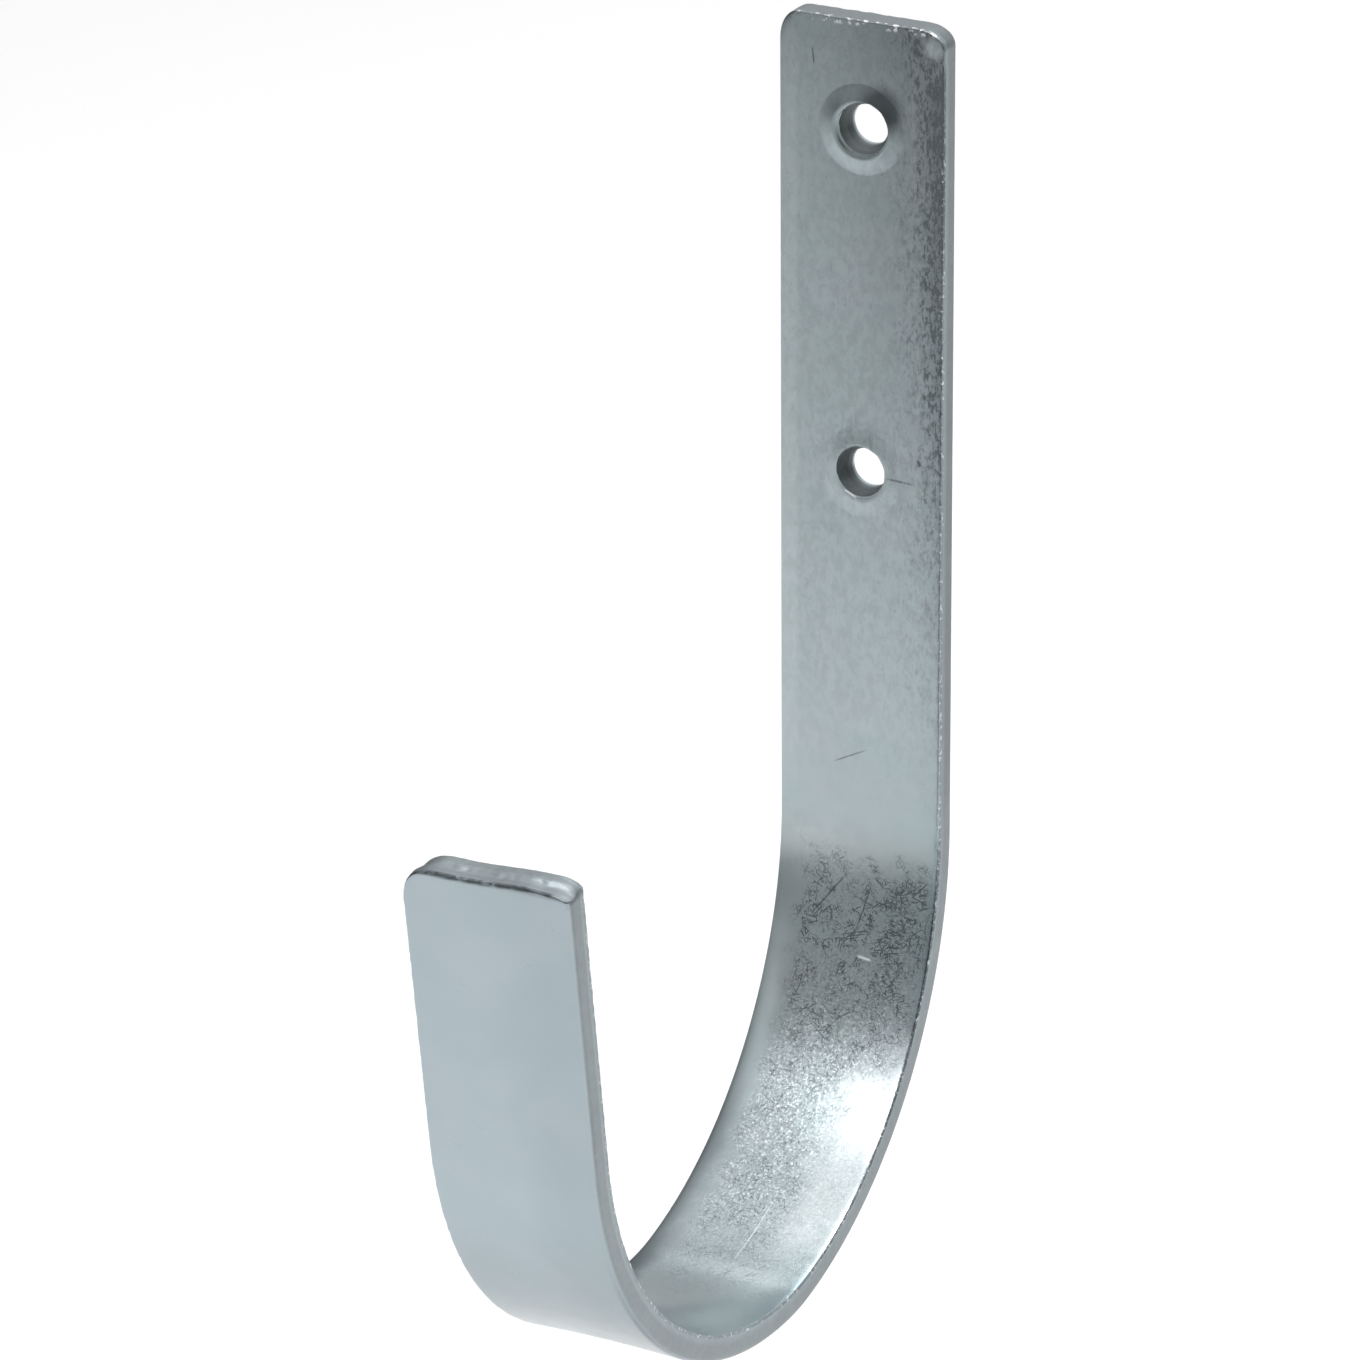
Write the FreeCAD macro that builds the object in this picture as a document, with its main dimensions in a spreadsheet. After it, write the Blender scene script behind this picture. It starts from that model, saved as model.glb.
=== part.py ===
import FreeCAD, Part
import math
import os

import Sketcher
from FreeCAD import Placement, Rotation, Vector

# Garage utility hook: a flat steel strip, sheared to length, punched with two screw holes and
# bent cold into a J. It is one piece.
#
# Frame: +Z up. The wall face of the back plate lies in the plane Y = 0 and the hook reaches
# towards -Y. The origin is on that face, midway between the two screw holes.
# Lengths are millimetres and angles are degrees.

SIZES = {
    # flat strip
    "bar_width": 25,
    "bar_thickness": 4,
    "edge_roll": 1.1,
    "edge_break": 0.15,
    # route of the middle of the thickness, from the top of the plate round to the tip
    "plate_height": 117.5,
    "upper_bend_radius": 54,
    "upper_bend_angle": 77,
    "floor_bend_radius": 31,
    "floor_bend_angle": 11.5,
    "lower_bend_radius": 52,
    "lower_bend_angle": 83.5,
    "tip_length": 43,
    # sheared ends
    "plate_corner_radius": 3.6,
    "tip_corner_radius": 3.2,
    "tip_step_height": 0.4,
    "tip_step_corner_radius": 3.8,
    "end_roll": 0.4,
    # screw holes, both on the middle line of the plate
    "upper_hole_inset": 15.5,
    "hole_pitch": 50,
    "hole_diameter": 6,
    "mouth_diameter": 7.6,
    "mouth_depth": 2.2,
    # metal pushed out round the holes on the front
    "bulge_diameter": 13,
    "bulge_rim": 0.3,
    "upper_bulge_height": 0.4,
    "lower_bulge_height": 0.12,
}

CLEAR = 2.0  # how far each cutting outline runs past the metal
ROOT = 1.0  # how far each bulge's outline starts inside the metal
ORIGIN_POINT = (-1, 1)
PLATE_TOP = "Sizes.hole_pitch / 2 + Sizes.upper_hole_inset"
TIP_LEAN = "(180 - Sizes.upper_bend_angle - Sizes.floor_bend_angle - Sizes.lower_bend_angle) * 1 deg"


def make_sheet(doc):
    """The driving dimensions, one alias for each."""
    sheet = doc.addObject("Spreadsheet::Sheet", "Sizes")
    for row, (name, value) in enumerate(SIZES.items(), start=1):
        sheet.set(f"A{row}", name)
        sheet.set(f"B{row}", str(value))
        sheet.setAlias(f"B{row}", name)
    doc.recompute()
    return sheet


def new_sketch(body, name, role, offset=None):
    """A sketch on one of the body's own origin planes, moved by an offset in that plane's axes."""
    sketch = body.newObject("Sketcher::SketchObject", name)
    plane = next(o for o in body.Origin.OriginFeatures if o.Role == role)
    sketch.AttachmentSupport = [(plane, "")]
    sketch.MapMode = "FlatFace"
    if offset is not None:
        sketch.AttachmentOffset = offset
    return sketch


def constrain(sketch, kind, *parts, name=None, expression=None):
    """Adds a constraint and binds its value to the sheet where an expression is given."""
    index = sketch.addConstraint(Sketcher.Constraint(kind, *parts))
    if name is not None:
        sketch.renameConstraint(index, name)
    if expression is not None:
        sketch.setExpression(f"Constraints[{index}]", expression)
    return index


def arc_about(centre, radius, first, last):
    """An arc in the sketch plane, counter-clockwise between two angles in radians."""
    return Part.ArcOfCircle(Part.Circle(centre, Vector(0, 0, 1), radius), first, last)


def middle_line(body, size):
    """The route of the strip: plate, three tangent bends and the straight tip."""
    top = size["hole_pitch"] / 2 + size["upper_hole_inset"]
    bends = [
        ("upper_bend_radius", "upper_bend_angle"),
        ("floor_bend_radius", "floor_bend_angle"),
        ("lower_bend_radius", "lower_bend_angle"),
    ]
    sketch = new_sketch(body, "MiddleLine", "YZ_Plane")
    point = Vector(-size["bar_thickness"] / 2, top - size["plate_height"], 0)
    plate_end = Vector(point.x, top, 0)
    sketch.addGeometry(Part.LineSegment(plate_end, point))
    constrain(sketch, "Vertical", 0)
    constrain(sketch, "DistanceX", 0, 1, *ORIGIN_POINT, -plate_end.x, expression="Sizes.bar_thickness / 2")
    constrain(sketch, "DistanceY", *ORIGIN_POINT, 0, 1, plate_end.y, expression=PLATE_TOP)
    constrain(sketch, "DistanceY", 0, 2, 0, 1, size["plate_height"], expression="Sizes.plate_height")

    turned = 0.0
    previous = (0, 2)
    for radius_name, angle_name in bends:
        radius = size[radius_name]
        sweep = math.radians(size[angle_name])
        outward = Vector(math.cos(turned), -math.sin(turned), 0)
        centre = point - outward * radius
        bend = sketch.addGeometry(arc_about(centre, radius, -turned - sweep, -turned))
        constrain(sketch, "Tangent", *previous, bend, 2)
        constrain(sketch, "Radius", bend, radius, expression=f"Sizes.{radius_name}")
        constrain(sketch, "Angle", bend, sweep, expression=f"Sizes.{angle_name} * 1 deg")
        turned += sweep
        point = centre + Vector(math.cos(turned), -math.sin(turned), 0) * radius
        previous = (bend, 1)

    along = Vector(-math.sin(turned), -math.cos(turned), 0)
    end = point + along * size["tip_length"]
    tip = sketch.addGeometry(Part.LineSegment(point, end))
    constrain(sketch, "Tangent", *previous, tip, 1)
    constrain(sketch, "Distance", tip, size["tip_length"], expression="Sizes.tip_length")

    # Two measured values, used to place the cuts at the tip.
    reach = constrain(sketch, "DistanceX", tip, 2, *ORIGIN_POINT, -end.x, name="tip_reach")
    sketch.setDriving(reach, False)
    drop = constrain(sketch, "DistanceY", tip, 2, *ORIGIN_POINT, -end.y, name="tip_drop")
    sketch.setDriving(drop, False)
    return sketch


def strip_section(body, size):
    """The strip's section, with rolled edges at two opposite corners and sharp ones between."""
    half = size["bar_width"] / 2
    thick = size["bar_thickness"]
    offset = Placement(Vector(0, 0, size["hole_pitch"] / 2 + size["upper_hole_inset"]), Rotation())
    sketch = new_sketch(body, "StripSection", "XY_Plane", offset)
    sketch.setExpression("AttachmentOffset.Base.z", PLATE_TOP)

    roll = size["edge_roll"]
    fine = size["edge_break"]
    corners = [
        (Vector(half, -thick, 0), Vector(-1, 1, 0), fine, "edge_break", -90),
        (Vector(half, 0, 0), Vector(-1, -1, 0), roll, "edge_roll", 0),
        (Vector(-half, 0, 0), Vector(1, -1, 0), fine, "edge_break", 90),
        (Vector(-half, -thick, 0), Vector(1, 1, 0), roll, "edge_roll", 180),
    ]
    arcs = []
    for corner, inward, radius, radius_name, first in corners:
        start = math.radians(first)
        arc = sketch.addGeometry(arc_about(corner + inward * radius, radius, start, start + math.pi / 2))
        constrain(sketch, "Radius", arc, radius, expression=f"Sizes.{radius_name}")
        arcs.append(arc)
    sides = []
    for index, arc in enumerate(arcs):
        following = arcs[(index + 1) % len(arcs)]
        start = sketch.Geometry[arc].EndPoint
        side = sketch.addGeometry(Part.LineSegment(start, sketch.Geometry[following].StartPoint))
        constrain(sketch, "Tangent", arc, 2, side, 1)
        constrain(sketch, "Tangent", side, 2, following, 1)
        sides.append(side)
    right, outer, left, inner = sides
    constrain(sketch, "Vertical", right)
    constrain(sketch, "Vertical", left)
    constrain(sketch, "Horizontal", outer)
    constrain(sketch, "Horizontal", inner)
    constrain(sketch, "PointOnObject", outer, 1, -1)
    constrain(sketch, "DistanceX", *ORIGIN_POINT, right, 1, half, expression="Sizes.bar_width / 2")
    constrain(sketch, "DistanceX", left, 1, *ORIGIN_POINT, half, expression="Sizes.bar_width / 2")
    constrain(sketch, "DistanceY", inner, 1, *ORIGIN_POINT, thick, expression="Sizes.bar_thickness")
    return sketch


def hold_back(sketch, size, line, setback_name):
    """Puts a line's first point on the end of the strip, or below it by a named setback."""
    if setback_name is None:
        constrain(sketch, "PointOnObject", line, 1, -1)
        return
    expression = f"Sizes.{setback_name}"
    constrain(sketch, "DistanceY", line, 1, *ORIGIN_POINT, size[setback_name], expression=expression)


def rounded_end_outline(sketch, size, radius_name, setback_name=None):
    """What is cut away round a sheared end: all outside a straight edge with two round corners.

    The sketch's origin is the middle of the end, and its Y axis points out of the metal.
    """
    half = size["bar_width"] / 2
    radius = size[radius_name]
    setback = size[setback_name] if setback_name else 0.0
    low = -setback - radius
    points = [
        Vector(half - radius, -setback, 0),
        Vector(-half + radius, -setback, 0),
        Vector(-half, low, 0),
        Vector(-half - CLEAR, low, 0),
        Vector(-half - CLEAR, CLEAR, 0),
        Vector(half + CLEAR, CLEAR, 0),
        Vector(half + CLEAR, low, 0),
        Vector(half, low, 0),
    ]
    edge = sketch.addGeometry(Part.LineSegment(points[0], points[1]))
    left = sketch.addGeometry(arc_about(Vector(-half + radius, low, 0), radius, math.pi / 2, math.pi))
    rim = [sketch.addGeometry(Part.LineSegment(a, b)) for a, b in zip(points[2:], points[3:])]
    right = sketch.addGeometry(arc_about(Vector(half - radius, low, 0), radius, 0, math.pi / 2))

    constrain(sketch, "Tangent", edge, 2, left, 1)
    constrain(sketch, "Coincident", left, 2, rim[0], 1)
    for first, second in zip(rim, rim[1:]):
        constrain(sketch, "Coincident", first, 2, second, 1)
    constrain(sketch, "Coincident", rim[-1], 2, right, 1)
    constrain(sketch, "Tangent", right, 2, edge, 1)
    for index, side in enumerate(rim):
        constrain(sketch, "Vertical" if index % 2 else "Horizontal", side)
    constrain(sketch, "Horizontal", edge)
    constrain(sketch, "Radius", left, radius, expression=f"Sizes.{radius_name}")
    constrain(sketch, "Radius", right, radius, expression=f"Sizes.{radius_name}")
    constrain(sketch, "Horizontal", left, 3, left, 2)
    constrain(sketch, "Horizontal", right, 3, right, 1)
    constrain(sketch, "DistanceX", left, 2, *ORIGIN_POINT, half, expression="Sizes.bar_width / 2")
    constrain(sketch, "DistanceX", *ORIGIN_POINT, right, 1, half, expression="Sizes.bar_width / 2")
    constrain(sketch, "DistanceX", rim[0], 2, left, 2, CLEAR)
    constrain(sketch, "DistanceX", right, 1, rim[-1], 1, CLEAR)
    constrain(sketch, "DistanceY", *ORIGIN_POINT, rim[2], 1, CLEAR)
    hold_back(sketch, size, edge, setback_name)


def tip_sketch(body, name, size, route, role):
    """A sketch with its origin at the tip's end, in the middle of the strip, and Y along the tip.

    On the XZ plane it lies in the middle of the thickness. On the YZ plane it is seen from the
    side, and its X axis runs from the outer face to the inner one.
    """
    lean = 180 - size["upper_bend_angle"] - size["floor_bend_angle"] - size["lower_bend_angle"]
    reach = route.getDatum("tip_reach").Value
    drop = route.getDatum("tip_drop").Value
    if role == "XZ_Plane":
        offset = Placement(Vector(0, -drop, reach), Rotation(Vector(1, 0, 0), lean))
        reach_axis, reach_expression = "z", "MiddleLine.Constraints.tip_reach"
    else:
        offset = Placement(Vector(-reach, -drop, 0), Rotation(Vector(0, 0, 1), lean))
        reach_axis, reach_expression = "x", "-MiddleLine.Constraints.tip_reach"
    sketch = new_sketch(body, name, role, offset)
    sketch.setExpression("AttachmentOffset.Base.y", "-MiddleLine.Constraints.tip_drop")
    sketch.setExpression(f"AttachmentOffset.Base.{reach_axis}", reach_expression)
    sketch.setExpression("AttachmentOffset.Rotation.Angle", TIP_LEAN)
    return sketch


def cut(doc, body, name, sketch, side, expression, reversed_side=False):
    """A pocket of a stated length; stops if it takes nothing off."""
    before = body.Shape.Volume
    pocket = body.newObject("PartDesign::Pocket", name)
    pocket.Profile = (sketch, [""])
    pocket.Type = "Length"
    pocket.SideType = side
    pocket.Reversed = reversed_side
    pocket.setExpression("Length", expression)
    doc.recompute()
    if not body.Shape.Volume < before:
        raise RuntimeError(f"{name} removed nothing")
    return pocket


def hole_sketch(body, name, points, height, height_expression):
    """A closed outline of lines, turned about a hole's axis. Returns the sketch and its lines."""
    sketch = new_sketch(body, name, "YZ_Plane", Placement(Vector(0, height, 0), Rotation()))
    sketch.setExpression("AttachmentOffset.Base.y", height_expression)
    lines = []
    for index, start in enumerate(points):
        end = points[(index + 1) % len(points)]
        lines.append(sketch.addGeometry(Part.LineSegment(start, end)))
    for index, line in enumerate(lines):
        constrain(sketch, "Coincident", line, 2, lines[(index + 1) % len(lines)], 1)
    axis = lines[-1]
    constrain(sketch, "PointOnObject", axis, 1, -1)
    constrain(sketch, "PointOnObject", axis, 2, -1)
    return sketch, lines


def turned(doc, body, kind, name, sketch):
    """A sketch turned once about its own X axis. Returns the change in the body's volume."""
    before = body.Shape.Volume
    feature = body.newObject(kind, name)
    feature.Profile = (sketch, [""])
    feature.ReferenceAxis = (sketch, ["H_Axis"])
    feature.Angle = 360
    doc.recompute()
    return body.Shape.Volume - before


def bulge(doc, body, name, size, height, height_expression, rise_name):
    """The low cone that the punch pushed out of the front, before the hole is cut."""
    thick = size["bar_thickness"]
    foot = size["bulge_diameter"] / 2
    top = size["mouth_diameter"] / 2 + size["bulge_rim"]
    rise = size[rise_name]
    points = [
        Vector(ROOT - thick, 0, 0),
        Vector(ROOT - thick, foot, 0),
        Vector(-thick, foot, 0),
        Vector(-thick - rise, top, 0),
        Vector(-thick - rise, 0, 0),
    ]
    sketch, lines = hole_sketch(body, name + "Profile", points, height, height_expression)
    inside, wall, slope, front, axis = lines
    constrain(sketch, "Vertical", inside)
    constrain(sketch, "Horizontal", wall)
    constrain(sketch, "Vertical", front)
    constrain(sketch, "DistanceX", wall, 2, wall, 1, ROOT)
    constrain(sketch, "DistanceX", slope, 1, *ORIGIN_POINT, thick, expression="Sizes.bar_thickness")
    constrain(sketch, "DistanceX", slope, 2, slope, 1, rise, expression=f"Sizes.{rise_name}")
    constrain(sketch, "DistanceY", *ORIGIN_POINT, slope, 1, foot, expression="Sizes.bulge_diameter / 2")
    constrain(
        sketch, "DistanceY", *ORIGIN_POINT, slope, 2, top,
        expression="Sizes.mouth_diameter / 2 + Sizes.bulge_rim")
    if not turned(doc, body, "PartDesign::Revolution", name, sketch) > 0:
        raise RuntimeError(f"{name} added nothing")


def screw_hole(doc, body, name, size, height, height_expression, rise_name):
    """A punched hole: straight at the wall side, torn wider out to the rim of its bulge."""
    thick = size["bar_thickness"]
    straight = size["hole_diameter"] / 2
    mouth = size["mouth_diameter"] / 2
    flare_start = thick - size["mouth_depth"]
    rim = thick + size[rise_name]
    points = [
        Vector(CLEAR, 0, 0),
        Vector(CLEAR, straight, 0),
        Vector(-flare_start, straight, 0),
        Vector(-rim, mouth, 0),
        Vector(-rim - CLEAR, mouth, 0),
        Vector(-rim - CLEAR, 0, 0),
    ]
    sketch, lines = hole_sketch(body, name + "Profile", points, height, height_expression)
    back, wall, flare, past, front, axis = lines
    constrain(sketch, "Vertical", back)
    constrain(sketch, "Horizontal", wall)
    constrain(sketch, "Horizontal", past)
    constrain(sketch, "Vertical", front)
    constrain(sketch, "DistanceX", *ORIGIN_POINT, back, 1, CLEAR)
    constrain(sketch, "DistanceX", past, 2, past, 1, CLEAR)
    constrain(
        sketch, "DistanceX", flare, 1, *ORIGIN_POINT, flare_start,
        expression="Sizes.bar_thickness - Sizes.mouth_depth")
    constrain(
        sketch, "DistanceX", flare, 2, *ORIGIN_POINT, rim,
        expression=f"Sizes.bar_thickness + Sizes.{rise_name}")
    constrain(sketch, "DistanceY", *ORIGIN_POINT, wall, 1, straight, expression="Sizes.hole_diameter / 2")
    constrain(sketch, "DistanceY", *ORIGIN_POINT, flare, 2, mouth, expression="Sizes.mouth_diameter / 2")
    if not turned(doc, body, "PartDesign::Groove", name, sketch) < 0:
        raise RuntimeError(f"{name} removed nothing")


def end_roll(doc, body, name, sketch, size, setback_name=None):
    """Rounds over the edge between a sheared end and the outer face of the strip.

    The sketch's origin is the middle of the thickness, its Y axis points out of the metal and
    its X axis runs from the outer face to the inner one.
    """
    face = -size["bar_thickness"] / 2
    roll = size["end_roll"]
    setback = size[setback_name] if setback_name else 0.0
    low = -setback - roll
    points = [
        Vector(face + roll, -setback, 0),
        Vector(face + roll, CLEAR, 0),
        Vector(face - CLEAR, CLEAR, 0),
        Vector(face - CLEAR, low, 0),
        Vector(face, low, 0),
    ]
    rim = [sketch.addGeometry(Part.LineSegment(a, b)) for a, b in zip(points, points[1:])]
    arc = sketch.addGeometry(arc_about(Vector(face + roll, low, 0), roll, math.pi / 2, math.pi))
    for first, second in zip(rim, rim[1:]):
        constrain(sketch, "Coincident", first, 2, second, 1)
    for index, side in enumerate(rim):
        constrain(sketch, "Horizontal" if index % 2 else "Vertical", side)
    constrain(sketch, "Coincident", rim[-1], 2, arc, 2)
    constrain(sketch, "Coincident", arc, 1, rim[0], 1)
    constrain(sketch, "Vertical", arc, 3, arc, 1)
    constrain(sketch, "Horizontal", arc, 3, arc, 2)
    constrain(sketch, "Radius", arc, roll, expression="Sizes.end_roll")
    constrain(sketch, "DistanceX", arc, 2, *ORIGIN_POINT, -face, expression="Sizes.bar_thickness / 2")
    constrain(sketch, "DistanceX", rim[2], 1, arc, 2, CLEAR)
    constrain(sketch, "DistanceY", *ORIGIN_POINT, rim[0], 2, CLEAR)
    hold_back(sketch, size, rim[0], setback_name)
    return cut(doc, body, name, sketch, "Symmetric", "2 * Sizes.bar_width")


def make_hook(doc, size):
    """The whole hook, in the order in which the strip is worked."""
    body = doc.addObject("PartDesign::Body", "Hook")
    body.Label = "hook"

    route = middle_line(body, size)
    section = strip_section(body, size)
    doc.recompute()
    strip = body.newObject("PartDesign::AdditivePipe", "Strip")
    strip.Profile = (section, [""])
    strip.Spine = (route, [])
    doc.recompute()

    top = size["hole_pitch"] / 2 + size["upper_hole_inset"]
    plate_end = new_sketch(body, "PlateEndOutline", "XZ_Plane", Placement(Vector(0, top, 0), Rotation()))
    plate_end.setExpression("AttachmentOffset.Base.y", PLATE_TOP)
    rounded_end_outline(plate_end, size, "plate_corner_radius")
    cut(doc, body, "PlateCorners", plate_end, "Symmetric", "4 * Sizes.bar_thickness")

    tip_end = tip_sketch(body, "TipEndOutline", size, route, "XZ_Plane")
    rounded_end_outline(tip_end, size, "tip_corner_radius")
    cut(doc, body, "TipCorners", tip_end, "Symmetric", "2 * Sizes.bar_thickness")

    tip_step = tip_sketch(body, "TipStepOutline", size, route, "XZ_Plane")
    rounded_end_outline(tip_step, size, "tip_step_corner_radius", "tip_step_height")
    cut(doc, body, "TipStep", tip_step, "One side", "Sizes.bar_thickness", reversed_side=True)

    pitch = size["hole_pitch"]
    places = (("Upper", pitch / 2, "Sizes.hole_pitch / 2"), ("Lower", -pitch / 2, "-Sizes.hole_pitch / 2"))
    for name, height, expression in places:
        rise_name = f"{name.lower()}_bulge_height"
        bulge(doc, body, name + "Bulge", size, height, expression, rise_name)
        screw_hole(doc, body, name + "Hole", size, height, expression, rise_name)

    facing_front = Placement(Vector(-size["bar_thickness"] / 2, top, 0), Rotation(Vector(0, 1, 0), 180))
    plate_roll = new_sketch(body, "PlateRollProfile", "YZ_Plane", facing_front)
    plate_roll.setExpression("AttachmentOffset.Base.x", "-Sizes.bar_thickness / 2")
    plate_roll.setExpression("AttachmentOffset.Base.y", PLATE_TOP)
    end_roll(doc, body, "PlateEndRoll", plate_roll, size)
    tip_roll = tip_sketch(body, "TipRollProfile", size, route, "YZ_Plane")
    end_roll(doc, body, "TipEndRoll", tip_roll, size, "tip_step_height")
    return body


def check(doc, bodies):
    """Stops on any failed object or bad shape."""
    for item in doc.Objects:
        if "Invalid" in item.State or "Error" in item.State:
            raise RuntimeError(f"{item.Name} failed: {item.State}")
    for body in bodies:
        shape = body.Shape
        if shape.isNull() or not shape.isValid() or len(shape.Solids) != 1:
            raise RuntimeError(f"{body.Label} has a bad shape")


def main():
    doc = FreeCAD.newDocument("garage_utility_hook")
    sheet = make_sheet(doc)
    size = {name: float(sheet.get(name)) for name in SIZES}
    bodies = [make_hook(doc, size)]
    doc.recompute()
    check(doc, bodies)
    os.makedirs("parts", exist_ok=True)
    for body in bodies:
        body.Shape.exportStep(f"parts/{body.Label}.step")
        box = body.Shape.optimalBoundingBox(True, False)
        spans = [(box.XMin, box.XMax), (box.YMin, box.YMax), (box.ZMin, box.ZMax)]
        print(body.Label, round(body.Shape.Volume, 1), [(round(a, 2), round(b, 2)) for a, b in spans])


main()
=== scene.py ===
import math

import bmesh
import bpy
from mathutils import Matrix, Vector, noise


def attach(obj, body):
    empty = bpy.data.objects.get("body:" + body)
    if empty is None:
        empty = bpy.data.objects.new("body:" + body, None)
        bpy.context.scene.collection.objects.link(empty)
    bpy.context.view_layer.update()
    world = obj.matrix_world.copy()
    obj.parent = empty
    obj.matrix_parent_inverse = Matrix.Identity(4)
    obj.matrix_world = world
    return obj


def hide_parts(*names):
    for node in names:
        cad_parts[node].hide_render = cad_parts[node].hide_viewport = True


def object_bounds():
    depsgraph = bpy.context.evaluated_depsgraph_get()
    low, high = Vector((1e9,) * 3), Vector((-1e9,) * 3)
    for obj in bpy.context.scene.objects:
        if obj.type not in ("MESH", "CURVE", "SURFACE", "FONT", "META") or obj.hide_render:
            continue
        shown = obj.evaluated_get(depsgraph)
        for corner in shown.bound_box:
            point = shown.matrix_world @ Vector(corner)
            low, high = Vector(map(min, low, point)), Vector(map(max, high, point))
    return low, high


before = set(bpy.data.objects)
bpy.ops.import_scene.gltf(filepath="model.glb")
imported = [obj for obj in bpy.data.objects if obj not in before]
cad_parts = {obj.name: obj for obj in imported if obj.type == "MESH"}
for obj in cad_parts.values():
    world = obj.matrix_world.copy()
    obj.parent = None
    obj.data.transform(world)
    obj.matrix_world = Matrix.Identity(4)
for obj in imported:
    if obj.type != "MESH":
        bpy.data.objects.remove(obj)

bl_info = {
    "name": "Garage utility hook",
    "version": (1, 0, 0),
    "blender": (4, 5, 0),
    "location": "3D View > Sidebar > Hook",
    "description": "A wall hook bent from one strip of zinc plated steel, and the stage it is seen on",
    "category": "Object",
}

# The hook is shaped flat, as the strip was sheared and punched, and is bent afterwards.
# In the flat strip X runs across it, Y through its thickness from the outer face at 0 to the
# inner face, and Z down its length from the top of the plate.

MM = 0.001
CAD_LOW, CAD_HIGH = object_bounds()
HALF_WIDTH = CAD_HIGH.x
PLATE_TOP = CAD_HIGH.z
THICKNESS = 4 * MM

# Route of the middle of the thickness: straight plate, three bends as (radius, degrees) and
# straight tip.
PLATE_HEIGHT = 117.5 * MM
BENDS = ((54 * MM, 77.0), (31 * MM, 11.5), (52 * MM, 83.5))
TIP_LENGTH = 43 * MM
BEND_LENGTH = sum(radius * math.radians(angle) for radius, angle in BENDS)
STRIP_LENGTH = PLATE_HEIGHT + BEND_LENGTH + TIP_LENGTH

# Round corners of the sheared ends, each as its reach across the strip and its reach along it,
# on the left side and on the right.
PLATE_CORNERS = ((2.9 * MM, 4.2 * MM), (3.9 * MM, 2.6 * MM))
TIP_OUTER_CORNERS = ((5.2 * MM, 5.2 * MM), (2.9 * MM, 1.3 * MM))
TIP_INNER_CORNERS = ((5.8 * MM, 6.8 * MM), (3.4 * MM, 1.4 * MM))
END_LENGTH = 7 * MM
STEP_LENGTH = 2 * MM
END_EDGE = 0.12 * MM
TORN_END_LENGTH = 0.25 * MM
ROLL_BREAK = (0.2 * MM, 0.6 * MM)  # where the rolled edge of an end is broken, and how widely

# Long edges, each as its reach across the strip and its reach into the thickness.
LEFT_INNER_ROLL = (2.0 * MM, 0.25 * MM)
LEFT_OUTER_BREAK = (0.3 * MM, 0.25 * MM)
RIGHT_INNER_BREAK = (0.15 * MM, 0.15 * MM)

# Sheared sides: how much of the thickness is torn, how far in from a side a point still belongs to
# it, and how far the chips of the burr reach into the thickness.
TORN_BAND = 1.15 * MM
SIDE_REACH = 0.35 * MM
CHIP_BAND = 0.3 * MM

# How finely the strip is divided.
SECTION_COLUMNS = 40
SECTION_ROWS = 30
CORNER_RINGS = 9
SMALLEST_RING_GAP = 0.03 * MM
HOLE_STEPS = 144
PROFILE_STEPS = 10

# Punched holes.
HOLE_HEIGHTS = (25 * MM, -25 * MM)
HOLE_RADIUS = 3.0 * MM
MOUTH_RADIUS = 3.7 * MM
MOUTH_DEPTH = 2.2 * MM
MOUTH_TEAR = 0.07 * MM
MOUTH_SHIFTS = ((0.45 * MM, 0.35 * MM), (0.0, 0.35 * MM))  # each torn mouth lies off centre, in X and Z
MOUTH_SEEDS = (10.0, 20.0)
BULGE_RADIUS = 6.5 * MM
BULGE_FOOT = 0.008 * MM
BULGE_HEIGHTS = (0.4 * MM, 0.12 * MM)
RIM_WIDTH = 0.6 * MM
RIM_ROUND = 0.75 * MM

BEND_FADE = 14 * MM  # how far from the bend's ends its crosswise curl dies out
SHARPEST_SMOOTH_EDGE = math.radians(28)

# What the mesh tells the finish about each point.
STRIP_DATA = "strip_mm"  # its place on the flat strip: across, through and along, in mm
SHEAR_DATA = "sheared"  # 1 on the sheared sides, the ends and the walls of the holes

# From here to the colours, sizes on the strip are in mm, and a place on it is (across, along).

# Layers of short scratches, each as its cell size, width, length and seed.
SCRATCH_LAYERS = (
    (0.55, 0.09, 0.8, 11.0),
    (0.8, 0.1, 1.3, 3.0),
    (1.1, 0.11, 1.9, 83.0),
    (1.5, 0.12, 2.8, 37.0),
    (2.1, 0.13, 3.8, 61.0),
    (3.1, 0.14, 5.6, 23.0),
)

# Single marks on the inner face, each from one place to another, and its width.
DARK_MARKS = (
    ((-1.2, 125.9), (-6.7, 133.8), 0.2),
    ((2.6, 126.5), (0.3, 137.0), 0.15),
    ((-4.2, 109.6), (1.2, 106.8), 0.16),
    ((3.8, 65.5), (8.4, 65.8), 0.22),
    ((8.7, 62.0), (9.2, 62.9), 0.3),
    ((9.8, 67.4), (10.1, 68.3), 0.3),
    ((-7.5, 4.6), (-7.2, 7.4), 0.17),
)
# The bright marks are real scratches and a torn rim, painted near white as glints.
BRIGHT_MARKS = (
    ((1.5, 138.2), (4.0, 138.5), 0.3),
    ((1.5, 177.6), (1.2, 192.4), 0.1),
    ((1.1, 154.9), (2.0, 163.4), 0.1),
    ((-2.6, 68.2), (-0.5, 69.2), 0.22),
)

# Round spots on the inner face, each as its middle, the radius it is whole in and its full radius.
# Painted highlight on the top right corner of the plate, where its rolled edge catches the light.
BRIGHT_CORNER = ((11.0, 2.4), 0.3, 2.6)
# Painted shade: the dark crescent on the upper right of the upper hole's bulge.
STAIN = ((2.9, 12.3), 1.6, 4.4)
FAINT_STAIN = ((-1.0, 60.6), 1.0, 4.5)

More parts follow.
